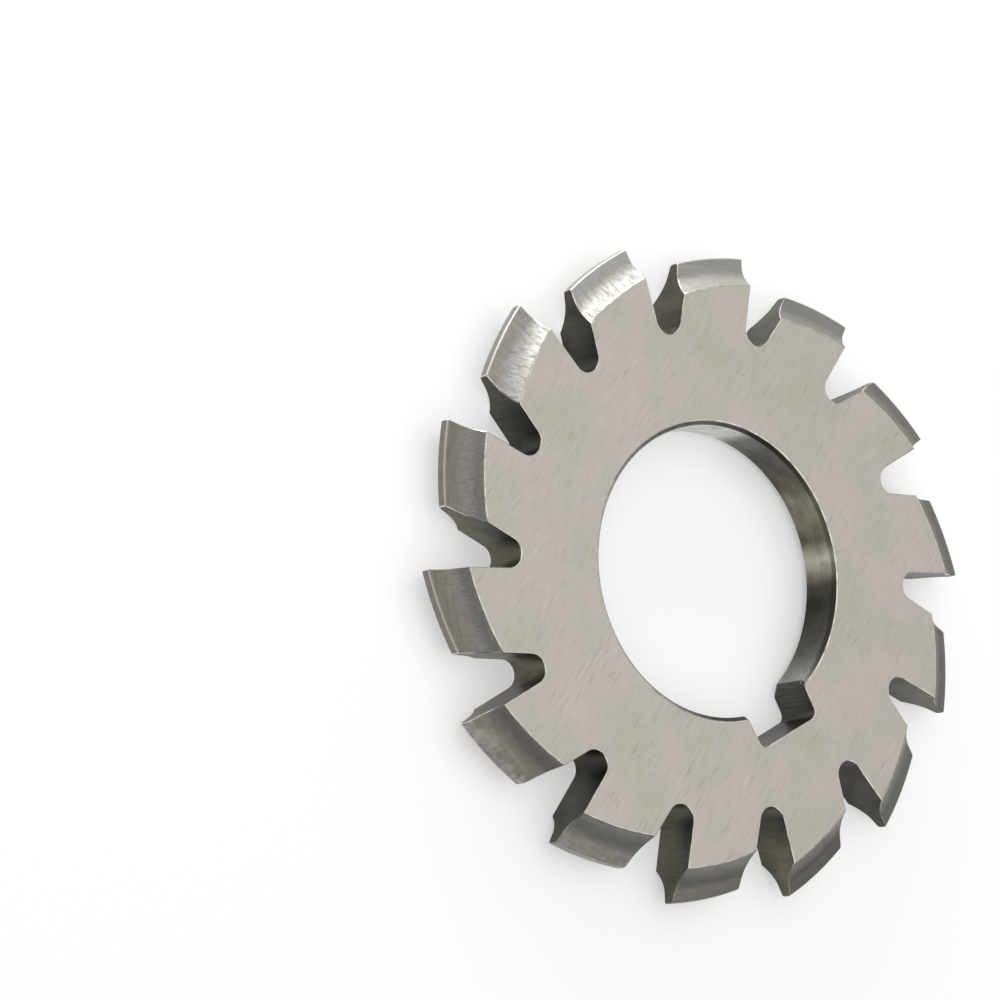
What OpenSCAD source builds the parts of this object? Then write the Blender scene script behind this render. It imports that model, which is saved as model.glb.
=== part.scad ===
// Disc-type cutter for milling the tooth gaps of a small spur gear.
// It lies flat on one side face: bore axis on Z, lower side face at z = 0,
// keyway toward +Y. Every tooth cuts with its clockwise end, seen from +Z.

/* [Body] */
// diameter over the cutting edges
cutter_d = 50; // [46:0.5:56]
// width between the two side faces
width = 4; // [3.4:0.1:4.4]
// number of cutting teeth
teeth = 14; // [12:1:16]

/* [Bore and keyway] */
// diameter of the arbor bore
bore_d = 22; // [16:0.5:24]
// chamfer at the upper end of the bore
bore_chamfer = 0.3; // [0.1:0.05:0.6]
// chamfer at the lower end of the bore
bore_chamfer_low = 0.7; // [0.3:0.05:0.9]
// width of the keyway
key_w = 6; // [4:0.1:7]
// distance from the bore axis to the keyway floor
key_floor = 13.4; // [12.5:0.1:14.5]
// radius in the two floor corners of the keyway
key_corner_r = 0.6; // [0.2:0.1:1.2]
// break on the two mouth edges of the keyway
key_break = 0.3; // [0.1:0.05:0.6]
// angle from the keyway's middle, clockwise, to the next cutting face
key_to_face = 11.4; // [6:0.1:20]

/* [Gullets] */
// depth of a gullet below the cutting edges
gullet_depth = 7.05; // [5.5:0.05:8]
// radius at the bottom of a gullet
gullet_r = 1.1; // [0.7:0.05:1.4]
// angle between a cutting face and the heel wall across the gullet
gullet_angle = 28; // [20:1:32]

/* [Tooth form] */
// module of the gear that is cut
gear_module = 1; // [0.8:0.05:1.1]
// tooth count of the gear that the form is drawn for
gear_teeth = 13; // [12:1:25]
// pressure angle of the gear
pressure_angle = 20; // [14.5:0.5:25]
// width of the tip before its corners are rounded
tip_w = 0.9; // [0.7:0.05:1.1]
// radius on the two corners of the tip
tip_r = 0.25; // [0.1:0.05:0.3]
// relief angle behind the cutting edge at the tip
relief_angle = 11.9; // [8:0.1:14]

/* [Hidden] */
$fn = 120;

steel = [0.70, 0.68, 0.66];
// how far a cutting shape runs past what it cuts
over = 2;
pitch = 360 / teeth;
mid = width / 2;
tip_rad = cutter_d / 2;
bore_rad = bore_d / 2;

// The blank stands a little over the cutting edges, and the relief trims it.
blank_rad = tip_rad + 0.6;

// Relief: a tooth's form is turned about an axis of its own, set off toward
// its cutting face, so that the form drops evenly toward the heel.
tooth_mid = 0.32 * pitch;
relief_off = tip_rad * tan(relief_angle);
turn_axis = relief_off * [sin(tooth_mid), -cos(tooth_mid)];

// Involute of the gear's tooth gap, as depth below the tip and half width.
gear_pitch_r = gear_module * gear_teeth / 2;
gear_base_r = gear_pitch_r * cos(pressure_angle);
gear_root_r = gear_pitch_r - 1.25 * gear_module;
form_half_w = mid + 0.3;

function inv(a) = tan(a) * 180 / PI - a;
function gap_half(r) = 90 / gear_teeth - inv(pressure_angle) + inv(acos(gear_base_r / r));
function form_at(r) = [r * cos(gap_half(r)) - gear_root_r, r * sin(gap_half(r))];

// gear radius at which the gap's half width has grown to w
function r_at_width(w, lo, hi, n = 30) =
    n == 0 ? lo
    : form_at((lo + hi) / 2)[1] < w ? r_at_width(w, (lo + hi) / 2, hi, n - 1)
    : r_at_width(w, lo, (lo + hi) / 2, n - 1);

// a point of the cutting face, depth and half width, in the turned section
function turned(p) = [norm([tip_rad - p[0], 0] - turn_axis), p[1]];

gear_run_r = r_at_width(form_half_w, gear_base_r, 2 * gear_pitch_r);
p_base = turned(form_at(gear_base_r));
p_half = turned(form_at((gear_base_r + gear_run_r) / 2));
p_run = turned(form_at(gear_run_r));
p_tip = turned([0, tip_w / 2]);

// The flank is one arc through three points of the involute.
function arc_centre(a, b, c) =
    let (u = b - a, v = c - a, k = 2 * (u[0] * v[1] - u[1] * v[0]))
    a + [v[1] * (u * u) - u[1] * (v * v), u[0] * (v * v) - v[0] * (u * u)] / k;
flank_c = arc_centre(p_base, p_half, p_run);
flank_r = norm(p_base - flank_c);

// The tip corner's arc touches the tip and the straight part of the flank.
side_dir = (p_tip - p_base) / norm(p_tip - p_base);
side_out = [-side_dir[1], side_dir[0]];
corner_rho = p_tip[0] - tip_r;
corner_c = [corner_rho,
    p_base[1] + (corner_rho - p_base[0]) * side_dir[1] / side_dir[0] - tip_r / side_dir[0]];
corner_t = corner_c + tip_r * side_out;

// one half of the tooth form, from the middle plane outward; the tip block and
// the flank run a little into each other, and meet where arc and side cross
module half_form() {
    lap = 0.2;
    p_in = p_base - lap * side_dir;
    polygon([[p_in[0], 0], [p_tip[0], 0], [p_tip[0], corner_c[1]], corner_c, corner_t, p_in]);
    translate(corner_c) circle(r = tip_r);
    difference() {
        polygon([[p_run[0] - over, 0], [p_base[0] + lap, 0], p_base + [lap, lap], p_run,
            [p_run[0] - over, p_run[1]]]);
        translate(flank_c) circle(r = flank_r);
    }
}

// what the relieving tool takes away above and beside the form; it starts
// further out than the form's foot, so that the foot stays whole
module relief_section() {
    difference() {
        translate([p_run[0] - over / 2, -over])
            square([p_tip[0] - p_run[0] + 2 * over, width + 2 * over]);
        translate([0, mid]) half_form();
        translate([0, mid]) mirror([0, 1]) half_form();
    }
}

// the relieving cut of the tooth whose cutting face lies on +X
module relief_cut() {
    from = atan2(-turn_axis[1], tip_rad - turn_axis[0]) - 0.15 * pitch;
    translate([turn_axis[0], turn_axis[1], 0])
        rotate([0, 0, from])
            rotate_extrude(angle = 0.95 * pitch) relief_section();
}

// the gullet in front of a cutting face that lies on +X
module gullet_2d() {
    cx = tip_rad - gullet_depth + gullet_r;
    heel = [cx - gullet_r * sin(gullet_angle), -gullet_r * (1 + cos(gullet_angle))];
    far = blank_rad + over;
    translate([cx, -gullet_r]) circle(r = gullet_r);
    polygon([[cx, 0], [far, 0], [far, heel[1] - (far - heel[0]) * tan(gullet_angle)],
        heel, [cx, -gullet_r]]);
}

// keyway toward +Y, with rounded floor corners and broken mouth edges
module keyway_2d() {
    hw = key_w / 2;
    mouth_y = sqrt(pow(bore_rad, 2) - pow(hw, 2));
    translate([-hw, 0]) square([key_w, key_floor - key_corner_r]);
    translate([-hw + key_corner_r, 0]) square([key_w - 2 * key_corner_r, key_floor]);
    for (s = [-1, 1]) {
        translate([s * (hw - key_corner_r), key_floor - key_corner_r]) circle(r = key_corner_r);
        translate([s * hw, mouth_y]) rotate(45) square(key_break * sqrt(2), center = true);
    }
}

// cutter for a chamfer c at the end of the bore that opens toward -Z
module chamfer_cut(c) {
    translate([0, 0, -c]) cylinder(h = 3 * c, r1 = bore_rad + 2 * c, r2 = bore_rad - c);
}

module gear_cutter() {
    color(steel)
    difference() {
        linear_extrude(height = width) difference() {
            circle(r = blank_rad);
            circle(r = bore_rad);
            keyway_2d();
            for (k = [0 : teeth - 1]) rotate(90 - key_to_face + k * pitch) gullet_2d();
        }
        for (k = [0 : teeth - 1]) rotate([0, 0, 90 - key_to_face + k * pitch]) relief_cut();
        chamfer_cut(bore_chamfer_low);
        translate([0, 0, width]) mirror([0, 0, 1]) chamfer_cut(bore_chamfer);
    }
}

gear_cutter();
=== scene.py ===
# A disc-type gear cutter of high-speed steel, lying on one side face.
# The cutter's sizes are millimetres until its finished mesh is scaled to metres. The floor,
# the lamps and the camera are placed in metres.
import math

import bmesh
import bpy
from mathutils import Matrix, Vector


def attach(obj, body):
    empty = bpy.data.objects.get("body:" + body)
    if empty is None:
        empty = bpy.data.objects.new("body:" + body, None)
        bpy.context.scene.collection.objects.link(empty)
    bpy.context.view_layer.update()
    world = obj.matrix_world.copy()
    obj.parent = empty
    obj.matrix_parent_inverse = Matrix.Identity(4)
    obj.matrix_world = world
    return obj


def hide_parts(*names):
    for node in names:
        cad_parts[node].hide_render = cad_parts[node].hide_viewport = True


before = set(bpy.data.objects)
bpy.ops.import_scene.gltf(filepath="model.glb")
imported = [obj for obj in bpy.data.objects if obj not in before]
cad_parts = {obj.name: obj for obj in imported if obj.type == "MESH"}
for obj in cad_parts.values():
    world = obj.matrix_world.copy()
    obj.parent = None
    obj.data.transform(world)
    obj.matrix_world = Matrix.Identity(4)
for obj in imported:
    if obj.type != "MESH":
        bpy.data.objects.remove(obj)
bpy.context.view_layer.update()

MM = 0.001
UP = Vector((0, 0, 1))

# Sizes
WIDTH = 4.0
TIP_RADIUS = 25.0
TEETH = 14
PITCH = 2 * math.pi / TEETH

BORE_RADIUS = 11.0
UPPER_CHAMFER = 0.3
LOWER_CHAMFER = 0.7
HUB_RADIUS = 15.5           # where the tooth sectors meet the ring around the bore
KEY_HALF = 3.0
KEY_FLOOR = 13.4
KEY_CORNER = 0.6
KEY_BREAK = 0.24            # the keyway's mouth edges, broken round
KEY_TO_FACE = math.radians(11.4)       # from the keyway's middle to the next cutting face
FIRST_FACE = math.radians(90) - KEY_TO_FACE

GULLET_RADIUS = 1.1
GULLET_DEPTH = 7.05
GULLET_ANGLE = math.radians(28)

# the gear that the form cuts: its base circle, and the circle at the bottom of its gaps
GEAR_MODULE = 1.0
GEAR_TEETH = 13
PRESSURE_ANGLE = math.radians(20)
DEDENDUM = 1.25 * GEAR_MODULE
GEAR_BASE = GEAR_MODULE * GEAR_TEETH / 2 * math.cos(PRESSURE_ANGLE)
GEAR_ROOT = GEAR_MODULE * GEAR_TEETH / 2 - DEDENDUM
TIP_HALF = 0.45
TIP_CORNER = 0.25

# a tooth's form is turned about an axis of its own, set off toward the tooth's middle
RELIEF_ANGLE = math.radians(11.9)
TOOTH_MIDDLE = 0.32 * PITCH
RELIEF = TIP_RADIUS * math.tan(RELIEF_ANGLE)
RELIEF_AXIS = RELIEF * Vector((math.sin(TOOTH_MIDDLE), -math.cos(TOOTH_MIDDLE), 0))
RELIEF_SWEEP = math.radians(22)        # from the cutting face to the heel, before easing

EDGE_BREAK = 0.06           # the small rounding that honing leaves on every edge
EPS = 1e-4                  # places closer than this are one place

# steps along the curves
INVOLUTE_STEPS = 10
TIP_CORNER_STEPS = 6
RELIEF_STEPS = 22
FACE_SIDE_STEPS = 12        # of a gullet's bottom, from its middle to the cutting face
HEEL_SIDE_STEPS = 9         # and from its middle to the heel
RING_STEPS = 8              # a tooth: they leave room beside the keyway for its broken edges
KEY_CORNER_STEPS = 7
KEY_BREAK_STEPS = 3
EDGE_BREAK_STEPS = 2

FLAT = math.radians(0.1)    # faces that meet at less than this are one flat face
SMOOTH = math.radians(22)   # edges under this are steps of a curve, and are shaded smooth
SHARP = math.radians(24)    # edges over this are real ones, and are honed

# material slots of the cutter's mesh
GROUND, RELIEVED, MILLED, BORED, BROACHED, HONED = range(6)


# Tooth form
def involute(angle):
    return math.tan(angle) - angle


def form_point(gear_radius):
    """A point of the gear's tooth gap: depth below the cutter's tip, half width."""
    half = math.pi / (2 * GEAR_TEETH) - involute(PRESSURE_ANGLE)
    half += involute(math.acos(min(1.0, GEAR_BASE / gear_radius)))
    return gear_radius * math.cos(half) - GEAR_ROOT, gear_radius * math.sin(half)


def half_form():
    """The form in the cutting face, from the side face to the tip: radius, half width."""
    # the gear's radius at which its gap is as wide as the cutter
    low, high = GEAR_BASE, 2 * GEAR_BASE
    halvings = 40
    for _ in range(halvings):
        middle = (low + high) / 2
        low, high = (middle, high) if form_point(middle)[1] < WIDTH / 2 else (low, middle)
    flank = [form_point(high + (GEAR_BASE - high) * i / INVOLUTE_STEPS)
             for i in range(INVOLUTE_STEPS + 1)]
    points = [(TIP_RADIUS - depth, half) for depth, half in flank]
    # a straight side from there to the tip, and the tip's rounded corner
    foot = Vector(points[-1])
    side = (Vector((TIP_RADIUS, TIP_HALF)) - foot).normalized()
    rise = TIP_RADIUS - TIP_CORNER - foot.x
    centre = Vector((foot.x + rise, foot.y + rise * side.y / side.x - TIP_CORNER / side.x))
    start = math.atan2(side.x, -side.y)
    for i in range(TIP_CORNER_STEPS + 1):
        a = start * (1 - i / TIP_CORNER_STEPS)
        points.append(tuple(centre + TIP_CORNER * Vector((math.cos(a), math.sin(a)))))
    return points


# One tooth sector
def turned(point, angle):
    return Matrix.Rotation(angle, 3, "Z") @ Vector(point)


GULLET_CENTRE = Vector((TIP_RADIUS - GULLET_DEPTH + GULLET_RADIUS, -GULLET_RADIUS, 0))
GULLET_FLOOR = GULLET_CENTRE * (1 - GULLET_RADIUS / GULLET_CENTRE.length)
FLOOR_ANGLE = math.atan2(GULLET_CENTRE.y, GULLET_CENTRE.x)
HEEL_NORMAL = turned((math.sin(GULLET_ANGLE), math.cos(GULLET_ANGLE), 0), PITCH)
HEEL_POINT = turned(GULLET_CENTRE, PITCH) - GULLET_RADIUS * HEEL_NORMAL


def spun(bm, line, centre, angle, steps):
    """A line of points, spun about an upright axis into new faces, which it returns."""
    verts = [bm.verts.new(point) for point in line]
    edges = [bm.edges.new(pair) for pair in zip(verts, verts[1:])]
    known = set(bm.faces)
    bmesh.ops.spin(bm, geom=verts + edges, cent=centre, axis=UP, angle=angle, steps=steps,
                   use_merge=False)
    return set(bm.faces) - known


def gullet_arc(bm, start, centre, angle, steps):
    """A part of the gullet's rounded bottom, from side face to side face."""
    line = [(start.x, start.y, 0), (start.x, start.y, WIDTH)]
    for face in spun(bm, line, centre, angle, steps):
        face.material_index = MILLED


def relieved_tooth(bm):
    """The form spun about the relief axis, from the cutting face to the heel."""
    upper = [(radius, 0, WIDTH / 2 + half) for radius, half in half_form()]
    lower = [(x, y, WIDTH - z) for x, y, z in reversed(upper)]
    faces = spun(bm, upper + lower, RELIEF_AXIS, RELIEF_SWEEP, RELIEF_STEPS)
    for face in faces:
        face.material_index = RELIEVED
    # ease every row along its own arc, so that the last one lies in the heel face
    normal_angle = math.atan2(HEEL_NORMAL.y, HEEL_NORMAL.x)
    reach = (HEEL_POINT - RELIEF_AXIS).dot(HEEL_NORMAL)
    for vert in {v for f in faces for v in f.verts}:
        arm = Vector((vert.co.x, vert.co.y, 0)) - RELIEF_AXIS
        first = math.asin(-RELIEF_AXIS.y / arm.length)
        last = normal_angle - math.acos(reach / arm.length)
        share = (math.atan2(arm.y, arm.x) - first) / RELIEF_SWEEP
        eased = first + (last - first) * share
        vert.co.x = RELIEF_AXIS.x + arm.length * math.cos(eased)
        vert.co.y = RELIEF_AXIS.y + arm.length * math.sin(eased)


def hub_ring(bm):
    """Both side faces near the bore, its chamfers and its wall, spun over one sector."""
    outline = [(HUB_RADIUS, 0), (BORE_RADIUS + LOWER_CHAMFER, 0), (BORE_RADIUS, LOWER_CHAMFER),
               (BORE_RADIUS, WIDTH - UPPER_CHAMFER), (BORE_RADIUS + UPPER_CHAMFER, WIDTH),
               (HUB_RADIUS, WIDTH)]
    line = [turned((radius, 0, z), FLOOR_ANGLE) for radius, z in outline]
    for face in spun(bm, line, (0, 0, 0), PITCH, RING_STEPS):
        flat = all(abs(v.co.z - face.verts[0].co.z) < EPS for v in face.verts)
        face.material_index = GROUND if flat else BORED


def fill(bm, slot, inside):
    """One flat face on the open edges whose two ends pass the test."""
    rim = [e for e in bm.edges if len(e.link_faces) < 2 and all(inside(v.co) for v in e.verts)]
    for face in bmesh.ops.contextual_create(bm, geom=rim)["faces"]:
        face.material_index = slot


def nearest(bm, point):
    return min(bm.verts, key=lambda v: (v.co - Vector(point)).length)


def in_heel_face(co):
    return abs((co - HEEL_POINT).dot(HEEL_NORMAL)) < EPS


def tooth_sector():
    """A fourteenth of the disc, from the middle of one gullet to the middle of the next."""
    bm = bmesh.new()
    relieved_tooth(bm)
    to_face = math.radians(-90) - FLOOR_ANGLE
    to_heel = math.radians(90) - GULLET_ANGLE - FLOOR_ANGLE
    gullet_arc(bm, GULLET_FLOOR, GULLET_CENTRE, to_face, FACE_SIDE_STEPS)
    gullet_arc(bm, turned(GULLET_FLOOR, PITCH), turned(GULLET_CENTRE, PITCH), to_heel,
               HEEL_SIDE_STEPS)
    hub_ring(bm)

    # the side faces' borders between tooth, gullets and hub
    heel_corner = max((v for v in bm.verts if v.co.z < EPS and in_heel_face(v.co)),
                      key=lambda v: v.co.length)
    form_root = half_form()[0][0]
    for z in (0, WIDTH):
        level = Vector((0, 0, z))
        for a, b in (
            (Vector((GULLET_CENTRE.x, 0, 0)), Vector((form_root, 0, 0))),
            (HEEL_POINT, heel_corner.co.copy()),
            (turned((HUB_RADIUS, 0, 0), FLOOR_ANGLE), GULLET_FLOOR),
            (turned((HUB_RADIUS, 0, 0), FLOOR_ANGLE + PITCH), turned(GULLET_FLOOR, PITCH)),
        ):
            bm.edges.new((nearest(bm, a + level), nearest(bm, b + level)))
    bmesh.ops.remove_doubles(bm, verts=bm.verts[:], dist=EPS)

    # the cutting face, the heel face and both side faces
    fill(bm, MILLED, lambda co: abs(co.y) < EPS and co.x > GULLET_CENTRE.x - EPS)
    fill(bm, MILLED, lambda co: in_heel_face(co) and co.length > HEEL_POINT.length - EPS)
    for z in (0, WIDTH):
        fill(bm, GROUND, lambda co: abs(co.z - z) < EPS
             and math.hypot(co.x, co.y) > HUB_RADIUS - 10 * EPS)
    return bm


# Keyway and edges
def cut_keyway(bm):
    """The ring is cut along the keyway's walls and floor, opened, and walled again."""
    def near_key(face):
        return all(v.co.y > 0 and math.hypot(v.co.x, v.co.y) < HUB_RADIUS + 10 * EPS
                   for v in face.verts)

    for point, normal in (((KEY_HALF, 0, 0), (1, 0, 0)), ((-KEY_HALF, 0, 0), (-1, 0, 0)),
                          ((0, KEY_FLOOR, 0), (0, 1, 0))):
        faces = [f for f in bm.faces if near_key(f)]
        if normal[1]:
            faces = [f for f in faces if abs(f.calc_center_median().x) < KEY_HALF]
        geom = list({v for f in faces for v in f.verts} | {e for f in faces for e in f.edges})
        bmesh.ops.bisect_plane(bm, geom=geom + faces, dist=EPS, plane_co=point, plane_no=normal)
    inside = [f for f in bm.faces if near_key(f) and abs(f.calc_center_median().x) < KEY_HALF
              and f.calc_center_median().y < KEY_FLOOR]
    bmesh.ops.delete(bm, geom=inside, context="FACES")

    corners = []
    for x in (-KEY_HALF, KEY_HALF):
        corners.append(bm.edges.new([nearest(bm, (x, KEY_FLOOR, z)) for z in (0, WIDTH)]))
    fill(bm, BROACHED, lambda co: abs(co.y - KEY_FLOOR) < EPS and abs(co.x) < KEY_HALF + EPS)
    for x in (-KEY_HALF, KEY_HALF):
        fill(bm, BROACHED, lambda co: abs(co.x - x) < EPS and 0 < co.y < KEY_FLOOR + EPS)
    # the flat faces that the cuts split are joined again
    around = [v for v in bm.verts if v.co.y > 0 and math.hypot(v.co.x, v.co.y) < HUB_RADIUS - EPS]
    bmesh.ops.dissolve_limit(bm, angle_limit=FLAT, verts=around, delimit={"MATERIAL"},
                             edges=list({e for v in around for e in v.link_edges}))
    bmesh.ops.bevel(bm, geom=corners, affect="EDGES", offset=KEY_CORNER,
                    segments=KEY_CORNER_STEPS, profile=0.5, material=-1)
    mouth = [e for e in bm.edges
             if sorted(f.material_index for f in e.link_faces) == [BORED, BROACHED]]
    bmesh.ops.bevel(bm, geom=mouth, affect="EDGES", offset=KEY_BREAK,
                    segments=KEY_BREAK_STEPS, profile=0.5, material=BROACHED)


def cutter_mesh():
    """The sector turned into a whole cutter, with its keyway cut and its edges broken."""
    bm = tooth_sector()
    bmesh.ops.spin(bm, geom=bm.verts[:] + bm.edges[:] + bm.faces[:], cent=(0, 0, 0), axis=UP,
                   angle=PITCH * (TEETH - 1), steps=TEETH - 1, use_duplicate=True)
    bmesh.ops.remove_doubles(bm, verts=bm.verts[:], dist=10 * EPS)
    bmesh.ops.rotate(bm, verts=bm.verts[:], cent=(0, 0, 0),
                     matrix=Matrix.Rotation(FIRST_FACE, 3, "Z"))
    cut_keyway(bm)
    bmesh.ops.recalc_face_normals(bm, faces=bm.faces[:])
    sharp = [e for e in bm.edges
             if e.is_convex and e.calc_face_angle() > SHARP
             and {f.material_index for f in e.link_faces} != {BORED}]
    bmesh.ops.bevel(bm, geom=sharp, affect="EDGES", offset=EDGE_BREAK,
                    segments=EDGE_BREAK_STEPS, profile=0.5, material=HONED, clamp_overlap=False)
    bmesh.ops.scale(bm, verts=bm.verts[:], vec=(MM, MM, MM))
    for face in bm.faces:
        face.smooth = face.material_index != GROUND
    for edge in bm.edges:
        kinds = {f.material_index for f in edge.link_faces}
        edge.smooth = len(kinds) == 1 and edge.calc_face_angle() < SMOOTH
    mesh = bpy.data.meshes.new("gear_cutter_body")
    bm.to_mesh(mesh)
    bm.free()
    return mesh


# Nodes

# settings that many nodes share
TIMES = {"operation": "MULTIPLY"}
MIXED = {"data_type": "RGBA"}
TINTED = {"data_type": "RGBA", "blend_type": "MULTIPLY"}


def srgb(code):
    """An sRGB hex colour as linear values."""
    parts = [int(code[i:i + 2], 16) / 255 for i in (0, 2, 4)]
    linear = [c / 12.92 if c <= 0.04045 else ((c + 0.055) / 1.055) ** 2.4 for c in parts]
    return (*linear, 1.0)


def plug(tree, node, inputs):
    """Sets or links sockets: a dict goes by name, a sequence fills those in use in order."""
    if isinstance(inputs, dict):
        pairs = [(node.inputs[name], value) for name, value in inputs.items()]
    else:
        pairs = zip([socket for socket in node.inputs if socket.enabled], inputs)
    for socket, value in pairs:
        if isinstance(value, bpy.types.NodeSocket):
            tree.links.new(value, socket)
        else:
            socket.default_value = value


def add(tree, kind, inputs=(), stops=(), **settings):
    """A node with its settings and links. It gives the first of its outputs in use.

    In order, a noise takes a place, scale, detail and roughness; a map range a value, two
    limits and what they become; and a mix a share and the colours at none and all of it.
    Stops are those of a colour ramp: a position, and an sRGB hex colour or a grey level.
    """
    node = tree.nodes.new(kind)
    for name, value in settings.items():
        setattr(node, name, value)
    plug(tree, node, inputs)
    if stops:
        elements = node.color_ramp.elements
        for _ in stops[2:]:
            elements.new(0.5)
        for element, (position, colour) in zip(elements, stops):
            element.position = position
            element.color = srgb(colour) if isinstance(colour, str) else (*[colour] * 3, 1.0)
    return next(socket for socket in node.outputs if socket.enabled)


def round_axis(tree, place):
    """Object coordinates about the bore axis: the angle, the radius and the height."""
    parts = add(tree, "ShaderNodeSeparateXYZ", (place,)).node.outputs
    angle = add(tree, "ShaderNodeMath", (parts["Y"], parts["X"]), operation="ARCTAN2")
    flat = add(tree, "ShaderNodeVectorMath", (place, (1, 1, 0)), **TIMES)
    radius = add(tree, "ShaderNodeVectorMath", (flat,), operation="LENGTH")
    return angle, radius, parts["Z"]


def grain(tree, *axes, detail=3.0, roughness=0.5):
    """Noise drawn out along its axes: each is a value, and the length of one blot in it."""
    drawn = [add(tree, "ShaderNodeMath", (value, 1 / size), **TIMES) for value, size in axes]
    place = add(tree, "ShaderNodeCombineXYZ", drawn)
    return add(tree, "ShaderNodeTexNoise", (place, 1.0, detail, roughness))


def by_tooth(tree, angle, levels, lead):
    """A level for each tooth, held from lead before its cutting face to the next tooth's."""
    turn = 2 * math.pi
    starts = [(FIRST_FACE - lead + i * PITCH + math.pi) % turn / turn for i in range(TEETH)]
    steps = sorted(zip(starts, levels))
    turned_by = add(tree, "ShaderNodeMapRange", (angle, -math.pi, math.pi))
    # the last step's level also holds from the start of the turn
    level = add(tree, "ShaderNodeValToRGB", (turned_by,), ((0.0, steps[-1][1]), *steps))
    level.node.color_ramp.interpolation = "CONSTANT"
    return level


# Finishes

# How far a mark shows on each tooth, from 0 to 1. Tooth 0 has the first cutting face, and
# the others follow counter-clockwise. Gullet 0 is the one in front of tooth 0.
# painted light: how much paler each tooth's flank is painted where the lamps light it
PALER_WHERE_LIT = (0, 0.2, 0, 0, 0.15, 0.53, 0.8, 1, 0.58, 0, 0, 0, 0.18, 0.15)
# chatter ridges, and how much painted gleam and glints they carry where they catch the light
CHATTER_AND_GLEAM = (0.05, 0.05, 0.05, 0.05, 0.05, 0.05, 0.12, 0.9, 1, 0.37, 0.31, 0.08, 0.08, 0.05)
# lighter blotches beside the tip
TIP_BLOTCHED = (0, 0, 0, 0, 0, 0, 0, 0, 0, 0, 0, 0.85, 0.5, 0)
UNHONED = (0.75, 0.75, 0.75, 0, 0, 0, 0, 0, 0, 0, 0, 0, 0.75, 0.75)
# painted reflection: how light each gullet's walls are painted, for the reflections they catch
GULLET_SHEEN = (0.74, 0.45, 0.75, 0.75, 0.75, 0.75, 0.75, 0.64, 0.42, 0.43, 0.92, 1, 0.4, 0.65)
FLANK_LEAD = math.radians(5)     # a flank's level changes in the middle of a gullet
GULLET_LEAD = 0.7 * PITCH        # a gullet's level changes in the middle of a tooth

# radii at which an angle about the bore axis is turned to a length along the surface
FLANK_MIDDLE = 23.5
GULLET_MIDDLE = 20.0

GRINDING_LAY = math.radians(27)
LAY_DEPTH = 2.0                  # the lay's blots, measured into the steel


def lay_noise(tree, place, length, breadth, detail=2.0):
    """Noise drawn out along the grinding lay; both sizes in millimetres."""
    along = add(tree, "ShaderNodeMapping", {"Vector": place, "Rotation": (0, 0, -GRINDING_LAY)})
    sized = add(tree, "ShaderNodeVectorMath",
                (along, (1 / (length * MM), 1 / (breadth * MM), 1 / (LAY_DEPTH * MM))), **TIMES)
    return add(tree, "ShaderNodeTexNoise", (sized, 1.0, detail, 0.55))


def ground_side(tree, place):
    """Hardened high-speed steel, ground flat and left with a fine slanting lay.

    It reads as even warm grey, with faint clouding and groups of short darker strokes. The
    real lay is too fine to show, and is drawn as coarse as it needs to be.
    """
    clouds = add(tree, "ShaderNodeTexNoise", (place, 1 / (5 * MM), 5.0))
    base = add(tree, "ShaderNodeValToRGB", (clouds,),
               ((0.34, "CCC8BD"), (0.5, "D1CBC2"), (0.68, "D6CDC7")))
    plain = "F8F8F7"
    strokes = lay_noise(tree, place, 1.5, 0.24)
    worn = add(tree, "ShaderNodeValToRGB", (strokes,),
               ((0.25, "E4E2DD"), (0.42, plain), (0.58, plain), (0.75, "FFFFFF")))
    groups = add(tree, "ShaderNodeTexNoise", (place, 1 / (3.5 * MM), 2.0))
    grouped = add(tree, "ShaderNodeMapRange", (groups, 0.45, 0.6, 0.3, 1.0))
    stroked = add(tree, "ShaderNodeMix", (grouped, srgb(plain), worn), **MIXED)
    colour = add(tree, "ShaderNodeMix", (1.0, base, stroked), **TINTED)
    lines = lay_noise(tree, place, 2.6, 0.13, detail=3.0)
    fine = add(tree, "ShaderNodeValToRGB", (lines,), ((0.3, "F6F6F6"), (0.7, "FFFFFF")))
    return {"Base Color": add(tree, "ShaderNodeMix", (0.8, colour, fine), **TINTED),
            "Roughness": add(tree, "ShaderNodeMapRange", (strokes, 0.3, 0.7, 0.50, 0.41)),
            "Normal": add(tree, "ShaderNodeBump",
                          {"Height": lines, "Strength": 0.15, "Distance": 3e-6})}


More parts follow.
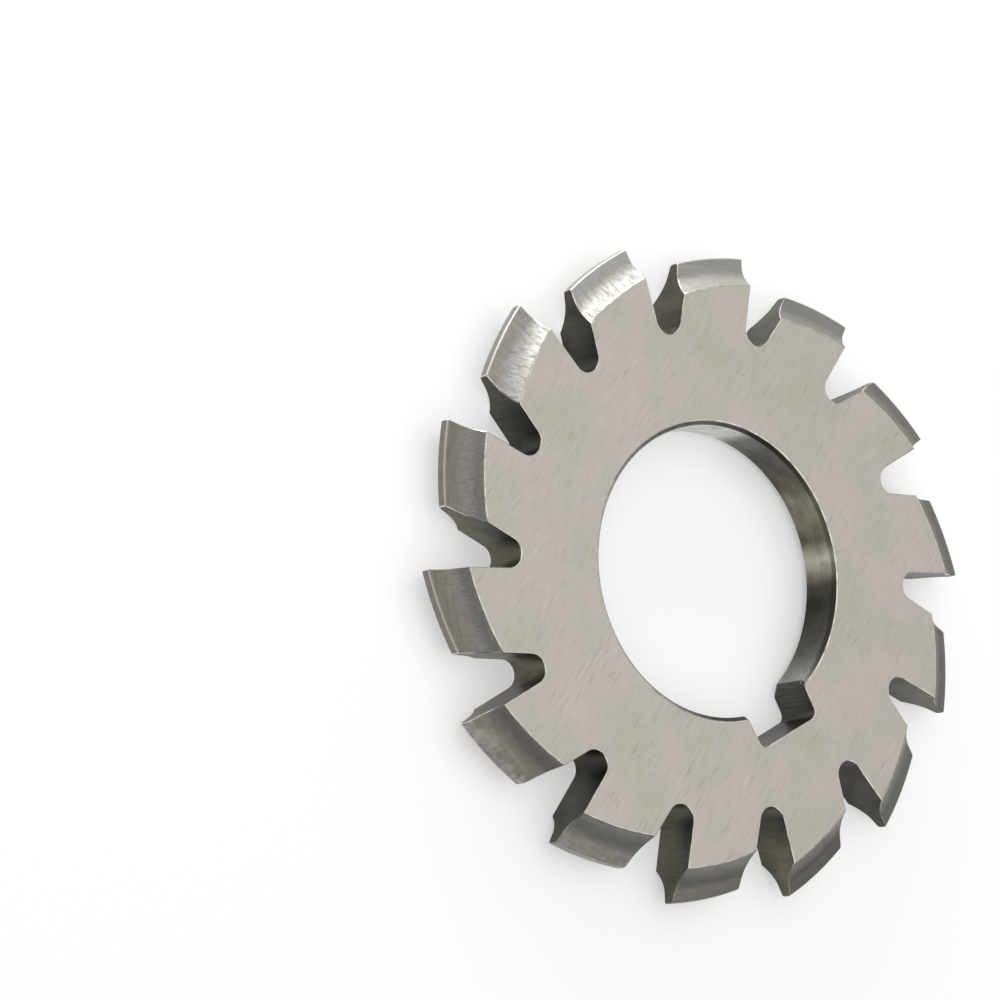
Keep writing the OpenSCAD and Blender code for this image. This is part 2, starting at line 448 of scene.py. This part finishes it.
def relieved_flank(tree, place):
    """The same steel where the relieving tool turned it: mid grey, with a soft gleam.

    The tool's feed leaves lines along the tooth. Where it chattered, fine ridges cross the
    tooth near the side faces; on the teeth where they catch the light they are painted
    lighter, with painted glints where they meet the side faces. Some teeth are painted paler
    where the lamps light them, two are blotched lighter beside the tip, and painted
    highlight lines run along the tip's two corners. Ridges and lines are drawn as coarse as
    they need to show.
    """
    angle, radius, height = round_axis(tree, place)
    paler_where_lit = by_tooth(tree, angle, PALER_WHERE_LIT, FLANK_LEAD)
    chatter_and_gleam = by_tooth(tree, angle, CHATTER_AND_GLEAM, FLANK_LEAD)
    tip_blotched = by_tooth(tree, angle, TIP_BLOTCHED, FLANK_LEAD)
    from_middle = add(tree, "ShaderNodeMath", (height, WIDTH / 2 * MM), operation="SUBTRACT")
    half_way = add(tree, "ShaderNodeMath", (from_middle,), operation="ABSOLUTE")

    # lines of the tool's feed; the flank is painted paler, as if lit, on the teeth that face the
    # lamps
    feed = grain(tree, (angle, 5.0 / FLANK_MIDDLE), (radius, 0.22 * MM), (height, 0.22 * MM))
    dull = add(tree, "ShaderNodeValToRGB", (feed,),
               ((0.3, "7B7870"), (0.5, "817E76"), (0.7, "87847C")))
    painted_lit_colour = add(tree, "ShaderNodeValToRGB", (feed,),
                ((0.3, "ACAAA4"), (0.5, "B4B2AC"), (0.7, "BBB9B3")))
    colour = add(tree, "ShaderNodeMix", (paler_where_lit, dull, painted_lit_colour), **MIXED)

    # ridges where the tool chattered, painted lighter as a highlight on the teeth where they
    # catch the light
    ridges = grain(tree, (angle, 0.15 / FLANK_MIDDLE), (radius, 0.45 * MM), roughness=0.6)
    painted_ridge_gleam = add(tree, "ShaderNodeValToRGB", (ridges,), ((0.34, "B0AEA9"), (0.60, "CAC8C3")))
    near_side = add(tree, "ShaderNodeMapRange", (half_way, 0.6 * MM, 1.2 * MM))
    near_side = add(tree, "ShaderNodeMath", (near_side, chatter_and_gleam), **TIMES)
    colour = add(tree, "ShaderNodeMix", (near_side, colour, painted_ridge_gleam), **MIXED)

    # painted glints where the ridges meet the side faces, on the teeth where they catch the light
    specks = add(tree, "ShaderNodeTexNoise", (place, 1 / (0.22 * MM), 2.0))
    specks = add(tree, "ShaderNodeMapRange", (specks, 0.46, 0.66))
    at_side = add(tree, "ShaderNodeMapRange", (half_way, 1.6 * MM, 1.95 * MM))
    painted_glints = add(tree, "ShaderNodeMath", (specks, at_side), **TIMES)
    painted_glints = add(tree, "ShaderNodeMath", (painted_glints, chatter_and_gleam), **TIMES)
    colour = add(tree, "ShaderNodeMix", (painted_glints, colour, srgb("D8D7D1")), **MIXED)

    # lighter blotches beside the tip on two teeth
    dabs = add(tree, "ShaderNodeTexNoise", (place, 1 / (0.8 * MM), 6.0, 0.62))
    dabs = add(tree, "ShaderNodeMapRange", (dabs, 0.42, 0.64))
    by_tip = add(tree, "ShaderNodeMapRange", (half_way, 0.42 * MM, 0.8 * MM, 0.6, 0.0))
    blotches = add(tree, "ShaderNodeMath", (by_tip, dabs), **TIMES)
    blotches = add(tree, "ShaderNodeMath", (blotches, tip_blotched), **TIMES)
    colour = add(tree, "ShaderNodeMix", (blotches, colour, srgb("CFCDC7")), **MIXED)

    # darker streaks, and a gleam that changes with them
    rubs = grain(tree, (angle, 0.30 / FLANK_MIDDLE), (radius, 0.90 * MM), detail=4.0,
                 roughness=0.65)
    rubbed = add(tree, "ShaderNodeMapRange", (half_way, 0.5 * MM, 1.1 * MM, 0.4, 1.0))
    rubbed = add(tree, "ShaderNodeMath", (rubbed, chatter_and_gleam), **TIMES)
    streaked = add(tree, "ShaderNodeValToRGB", (rubs,), ((0.36, "DEDDDB"), (0.56, "FFFFFF")))
    colour = add(tree, "ShaderNodeMix", (rubbed, colour, streaked), **TINTED)
    rough = add(tree, "ShaderNodeMapRange", (rubs, 0.35, 0.65, 0.53, 0.41))
    softer = add(tree, "ShaderNodeMath", (paler_where_lit, 0.07), **TIMES)

    # painted highlight lines on the tip's two corners, brighter on the teeth where the ridges
    # catch the light
    corner_line_at, corner_line_half = 0.40 * MM, 0.09 * MM
    from_corner = add(tree, "ShaderNodeMath", (half_way, corner_line_at), operation="SUBTRACT")
    from_corner = add(tree, "ShaderNodeMath", (from_corner,), operation="ABSOLUTE")
    at_corner = add(tree, "ShaderNodeMapRange", (from_corner, 0.0, corner_line_half, 0.9, 0.0))
    bright = add(tree, "ShaderNodeMapRange", (chatter_and_gleam, 0.0, 0.3, 0.2, 1.0))
    painted_corner_highlight = add(tree, "ShaderNodeMath", (at_corner, bright), **TIMES)

    ridge_height = add(tree, "ShaderNodeMath", (near_side, ridges), **TIMES)
    ridge_bump = add(tree, "ShaderNodeBump",
                     {"Height": ridge_height, "Strength": 1.0, "Distance": 6e-6})
    return {"Base Color": add(tree, "ShaderNodeMix", (painted_corner_highlight, colour, srgb("E6E5E0")),
                              **MIXED),
            "Roughness": add(tree, "ShaderNodeMath", (rough, softer), operation="ADD"),
            "Normal": add(tree, "ShaderNodeBump", {"Height": feed, "Strength": 0.25,
                                                   "Distance": 4e-6, "Normal": ridge_bump})}


def milled_gullet(tree, place):
    """Gullet walls as the gashing cutter left them, hardened and never polished.

    They are dark olive-grey, painted lighter or darker from gullet to gullet as a stand-in
    for the reflections they catch, with feed lines from one side face to the other, drawn as
    coarse as they need to show.
    """
    angle, radius, height = round_axis(tree, place)
    clouds = add(tree, "ShaderNodeTexNoise", (place, 1 / (3 * MM), 2.0))
    base = add(tree, "ShaderNodeValToRGB", (clouds,), ((0.35, "68665B"), (0.65, "838174")))
    # painted reflection: each gullet's walls lighter or darker by the reflections they catch
    sheen = by_tooth(tree, angle, GULLET_SHEEN, GULLET_LEAD)
    painted_sheen = add(tree, "ShaderNodeMix", (1.0, base, sheen), **TINTED)
    lines = grain(tree, (radius, 0.16 * MM), (angle, 0.4 / GULLET_MIDDLE), (height, 2.5 * MM),
                  roughness=0.6)
    worn = add(tree, "ShaderNodeValToRGB", (lines,), ((0.3, "CFCFCF"), (0.7, "FFFFFF")))
    return {"Base Color": add(tree, "ShaderNodeMix", (0.8, painted_sheen, worn), **TINTED),
            "Roughness": 0.42,
            "Normal": add(tree, "ShaderNodeBump",
                          {"Height": lines, "Strength": 0.4, "Distance": 8e-6})}


def bored_wall(tree, place):
    """The bore, ground round: dark, with light and dark bands painted round it by angle as
    reflections.

    Its grinding lines run round the bore, drawn as coarse as they need to show. The chamfers
    at its ends were turned before hardening, and are still dark.
    """
    angle, radius, height = round_axis(tree, place)
    turned_by = add(tree, "ShaderNodeMapRange", (angle, -math.pi, math.pi))
    # painted reflections: light and dark bands by angle round the bore
    painted_reflection_bands = add(tree, "ShaderNodeValToRGB", (turned_by,), (
        (0.0, "95917F"), (0.02, "95917F"), (0.035, "6D6A60"), (0.08, "5D5A52"), (0.12, "77756E"),
        (0.14, "E8E7E2"), (0.25, "E2E1DC"), (0.45, "6A675F"), (0.80, "A5A39D"), (0.84, "605E58"),
        (0.90, "3C3A34"), (0.92, "524F47"), (0.95, "D2CDBE"), (0.97, "6B665A"), (1.0, "95917F")))
    patches = add(tree, "ShaderNodeTexNoise", (place, 1 / (1.2 * MM), 3.0))
    patches = add(tree, "ShaderNodeValToRGB", (patches,), ((0.35, "C0BEB8"), (0.6, "FFFFFF")))
    patched = add(tree, "ShaderNodeMix", (0.6, painted_reflection_bands, patches), **TINTED)
    lines = grain(tree, (angle, 6.0 / BORE_RADIUS), (height, 0.12 * MM), detail=4.0)
    worn = add(tree, "ShaderNodeValToRGB", (lines,), ((0.3, "B8B8B8"), (0.7, "FFFFFF")))
    colour = add(tree, "ShaderNodeMix", (0.7, patched, worn), **TINTED)
    on_chamfer = add(tree, "ShaderNodeMapRange",
                     (radius, (BORE_RADIUS + 0.03) * MM, (BORE_RADIUS + 0.06) * MM, 0.0, 0.5))
    return {"Base Color": add(tree, "ShaderNodeMix", (on_chamfer, colour, srgb("4A4841")),
                              **MIXED),
            "Roughness": 0.3,
            "Normal": add(tree, "ShaderNodeBump",
                          {"Height": lines, "Strength": 0.35, "Distance": 5e-6})}


def broached_keyway(tree, place):
    """Keyway walls, broached: dark grey, with straight lines along the tool's pull.

    The lines are drawn as coarse as they need to show.
    """
    stretch = (1 / (0.15 * MM), 1 / (0.15 * MM), 1 / (4 * MM))
    drawn = add(tree, "ShaderNodeVectorMath", (place, stretch), **TIMES)
    lines = add(tree, "ShaderNodeTexNoise", (drawn, 1.0, 3.0))
    return {"Base Color": add(tree, "ShaderNodeValToRGB", (lines,),
                              ((0.3, "3E3C37"), (0.7, "56544E"))),
            "Roughness": 0.4,
            "Normal": add(tree, "ShaderNodeBump",
                          {"Height": lines, "Strength": 0.4, "Distance": 8e-6})}


def honed_edge(tree, place):
    """Edges touched by a stone: bare bright steel that draws a thin light line.

    The cutting edges of five teeth are still dull below the side face.
    """
    angle, _, height = round_axis(tree, place)
    nicks = add(tree, "ShaderNodeTexNoise", (place, 1 / (0.8 * MM), 3.0))
    base = add(tree, "ShaderNodeValToRGB", (nicks,), ((0.35, "B4B1AA"), (0.6, "E4E2DC")))
    below_side = add(tree, "ShaderNodeMapRange",
                     (height, (WIDTH - 0.18) * MM, (WIDTH - 0.08) * MM, 1.0, 0.0))
    unhoned = by_tooth(tree, angle, UNHONED, FLANK_LEAD)
    dulled = add(tree, "ShaderNodeMath", (unhoned, below_side), **TIMES)
    return {"Base Color": add(tree, "ShaderNodeMix", (dulled, base, srgb("5A584F")), **MIXED),
            "Roughness": 0.22}


def steel(name, finish):
    """A metal material; finish gives its colour, roughness and relief."""
    material = bpy.data.materials.new(name)
    material.use_nodes = True
    tree = material.node_tree
    place = add(tree, "ShaderNodeTexCoord").node.outputs["Object"]
    plug(tree, tree.nodes["Principled BSDF"], {"Metallic": 1.0, **finish(tree, place)})
    return material


# The cutter
cutter = bpy.data.objects.new("gear_cutter_visual", cutter_mesh())
bpy.context.collection.objects.link(cutter)
# in the order of the material slots
for name, finish in (
    ("ground_high_speed_steel", ground_side),
    ("relief_turned_high_speed_steel", relieved_flank),
    ("milled_hardened_steel", milled_gullet),
    ("ground_bore_steel", bored_wall),
    ("broached_steel", broached_keyway),
    ("honed_steel_edge", honed_edge),
):
    cutter.data.materials.append(steel(name, finish))
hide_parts("gear_cutter")
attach(cutter, "root")


# Floor, light and camera
PAPER_GLOW = 0.38


def white_paper():
    """Matt white paper: it takes the cutter's shadow, and shows white behind it."""
    material = bpy.data.materials.new("white_paper")
    material.use_nodes = True
    tree = material.node_tree
    tree.nodes.remove(tree.nodes["Principled BSDF"])
    paper = add(tree, "ShaderNodeBsdfDiffuse", (srgb("E6E6E6"),))
    # the glow is seen by the camera and in the metal, and lights nothing
    path = add(tree, "ShaderNodeLightPath").node.outputs
    seen = add(tree, "ShaderNodeMath", (path["Is Camera Ray"], path["Is Glossy Ray"]),
               operation="MAXIMUM")
    seen = add(tree, "ShaderNodeMath", (seen, path["Is Transmission Ray"]), operation="MAXIMUM")
    strength = add(tree, "ShaderNodeMath", (seen, PAPER_GLOW), **TIMES)
    glow = add(tree, "ShaderNodeEmission", {"Strength": strength})
    both = add(tree, "ShaderNodeAddShader", (paper, glow))
    plug(tree, tree.nodes["Material Output"], {"Surface": both})
    return material


bm = bmesh.new()
bmesh.ops.create_circle(bm, cap_ends=True, segments=64, radius=1.5)
floor_mesh = bpy.data.meshes.new("floor")
bm.to_mesh(floor_mesh)
bm.free()
floor = bpy.data.objects.new("floor", floor_mesh)
bpy.context.collection.objects.link(floor)
floor.data.materials.append(white_paper())


def direction(azimuth, elevation):
    a, e = math.radians(azimuth), math.radians(elevation)
    return Vector((math.cos(e) * math.cos(a), math.cos(e) * math.sin(a), math.sin(e)))


def softbox(name, azimuth, elevation, distance, width, height, radiance):
    """A rectangular soft light that faces the cutter, as bright as the given radiance."""
    light = bpy.data.lights.new(name, "AREA")
    light.shape = "RECTANGLE"
    light.size, light.size_y = width, height
    light.energy = radiance * math.pi * width * height
    lamp = bpy.data.objects.new(name, light)
    lamp.location = distance * direction(azimuth, elevation)
    lamp.rotation_euler = lamp.location.to_track_quat("Z", "Y").to_euler()
    bpy.context.collection.objects.link(lamp)


# The key stands low, so that the side face never mirrors it to a camera above.
softbox("key_softbox", azimuth=-107, elevation=9, distance=0.30, width=0.32, height=0.09,
        radiance=6.0)
softbox("fill_softbox", azimuth=172, elevation=12, distance=0.35, width=0.25, height=0.12,
        radiance=0.9)

world = bpy.data.worlds.new("studio")
bpy.context.scene.world = world
world.use_nodes = True
sky = world.node_tree
around = add(sky, "ShaderNodeTexCoord").node.outputs["Generated"]
rise = add(sky, "ShaderNodeSeparateXYZ", (around,)).node.outputs["Z"]
# a light horizon, a dim band above it where the room is unlit, and a bright ceiling
room = add(sky, "ShaderNodeValToRGB", (rise,), (
    (0.0, "E8E8E8"), (0.10, "B4B4B4"), (0.22, "4A4A4A"), (0.44, "525252"), (0.70, "FFFFFF")))
plug(sky, sky.nodes["Background"], {"Color": room, "Strength": 1.0})

# the photo's viewpoint, as fitted to the outlines of bore, keyway, gullets and teeth
VIEW_PLACE = (0.145326, -0.037632, 0.189361)
VIEW_RIGHT = (-0.72590, 0.39760, 0.56123)
VIEW_DOWN = (0.38612, 0.91084, -0.14588)
VIEW_AHEAD = (-0.56920, 0.11081, -0.81470)
LENS_IN_IMAGE_WIDTHS = 3.1956
camera_data = bpy.data.cameras.new("camera")
camera_data.sensor_width = 36
camera_data.lens = camera_data.sensor_width * LENS_IN_IMAGE_WIDTHS
camera_data.clip_start = 0.01
camera = bpy.data.objects.new("camera", camera_data)
columns = (Vector(VIEW_RIGHT), -Vector(VIEW_DOWN), -Vector(VIEW_AHEAD))
camera.matrix_world = (Matrix.Translation(VIEW_PLACE)
                       @ Matrix(columns).transposed().to_4x4())
bpy.context.collection.objects.link(camera)
bpy.context.scene.camera = camera
bpy.context.scene.view_settings.view_transform = "Standard"
